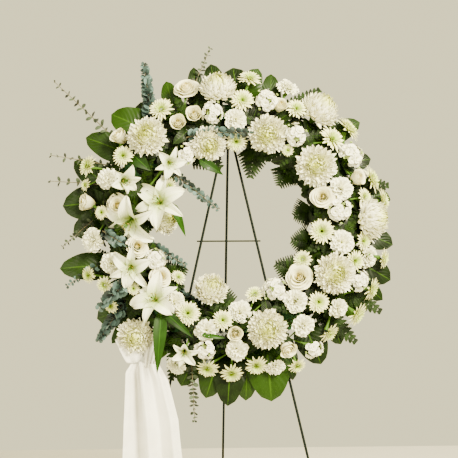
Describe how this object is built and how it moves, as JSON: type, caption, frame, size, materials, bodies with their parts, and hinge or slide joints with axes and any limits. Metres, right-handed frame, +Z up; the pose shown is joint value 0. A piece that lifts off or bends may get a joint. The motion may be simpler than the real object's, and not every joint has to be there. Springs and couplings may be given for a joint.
{
  "type": "standing funeral wreath",
  "caption": "Ring wreath of white flowers and mixed greens hung on the hook of a folding wire easel, with a ribbon bow and long tails.",
  "frame": {"origin": "on the floor, under the middle of the whole piece's bounding box", "axes": "+Z up, -Y out of the wreath's face towards the viewer, +X to the viewer's right"},
  "size_m": [0.9038, 0.7408, 1.5209],
  "materials": {
    "easel_enamel": "dark green enamel on steel wire",
    "floral_foam": "wet floral foam",
    "tray_plastic": "dull moulded plastic",
    "leaf_green": "waxy leaves and fern",
    "eucalyptus_leaf": "blue-grey bloomed leaves",
    "chrysanthemum_petal": "soft cream petals",
    "lily_petal": "waxy white petals",
    "small_bloom_petal": "soft white petals",
    "ribbon_satin": "satin weave"
  },
  "bodies": {
    "front_frame_and_wreath": {"bunch_bottom": "small_bloom_petal", "bunch_bottom_inner": "small_bloom_petal", "bunch_bottom_left": "small_bloom_petal", "bunch_bottom_right": "small_bloom_petal", "bunch_bottom_right_inner": "small_bloom_petal", "bunch_bottom_right_outer": "small_bloom_petal", "bunch_left": "small_bloom_petal", "bunch_left_inner": "small_bloom_petal", "bunch_left_lower": "small_bloom_petal", "bunch_left_lower_inner": "small_bloom_petal", "bunch_left_upper": "small_bloom_petal", "bunch_left_upper_inner": "small_bloom_petal", "bunch_right": "small_bloom_petal", "bunch_right_lower": "small_bloom_petal", "bunch_right_upper": "small_bloom_petal", "bunch_right_upper_inner": "small_bloom_petal", "bunch_top": "small_bloom_petal", "bunch_top_left": "small_bloom_petal", "bunch_top_right": "small_bloom_petal", "easel_crossbar": "easel_enamel", "easel_hinge_pin": "easel_enamel", "easel_hook": "easel_enamel", "easel_leg_left": "easel_enamel", "easel_leg_right": "easel_enamel", "eucalyptus_bottom_left": "eucalyptus_leaf", "eucalyptus_hanging": "eucalyptus_leaf", "eucalyptus_left_long": "eucalyptus_leaf", "eucalyptus_left_low": "eucalyptus_leaf", "eucalyptus_opening": "eucalyptus_leaf", "eucalyptus_tall": "eucalyptus_leaf", "eucalyptus_top": "eucalyptus_leaf", "foam_ring": "floral_foam", "foam_tray": "tray_plastic", "greens_1": "leaf_green", "greens_2": "leaf_green", "greens_3": "leaf_green", "greens_4": "leaf_green", "greens_5": "leaf_green", "greens_6": "leaf_green", "lily_1": "lily_petal", "lily_2": "lily_petal", "lily_3": "lily_petal", "lily_4": "lily_petal", "mum_01": "chrysanthemum_petal", "mum_02": "chrysanthemum_petal", "mum_03": "chrysanthemum_petal", "mum_04": "chrysanthemum_petal", "mum_05": "chrysanthemum_petal", "mum_06": "chrysanthemum_petal", "mum_07": "chrysanthemum_petal", "mum_08": "chrysanthemum_petal", "mum_09": "chrysanthemum_petal", "mum_10": "chrysanthemum_petal", "mum_11": "chrysanthemum_petal", "mum_12": "chrysanthemum_petal", "ribbon_bow": "ribbon_satin", "ribbon_tails": "ribbon_satin"},
    "rear_leg": {"easel_rear_leg": "easel_enamel"}
  },
  "joints": [
    {"name": "rear_leg_fold", "type": "hinge", "parent": "front_frame_and_wreath", "child": "rear_leg", "pos_m": [0.0181, -0.092, 1.2604], "axis": [-1, 0, 0], "range_deg": [0, 29]}
  ]
}
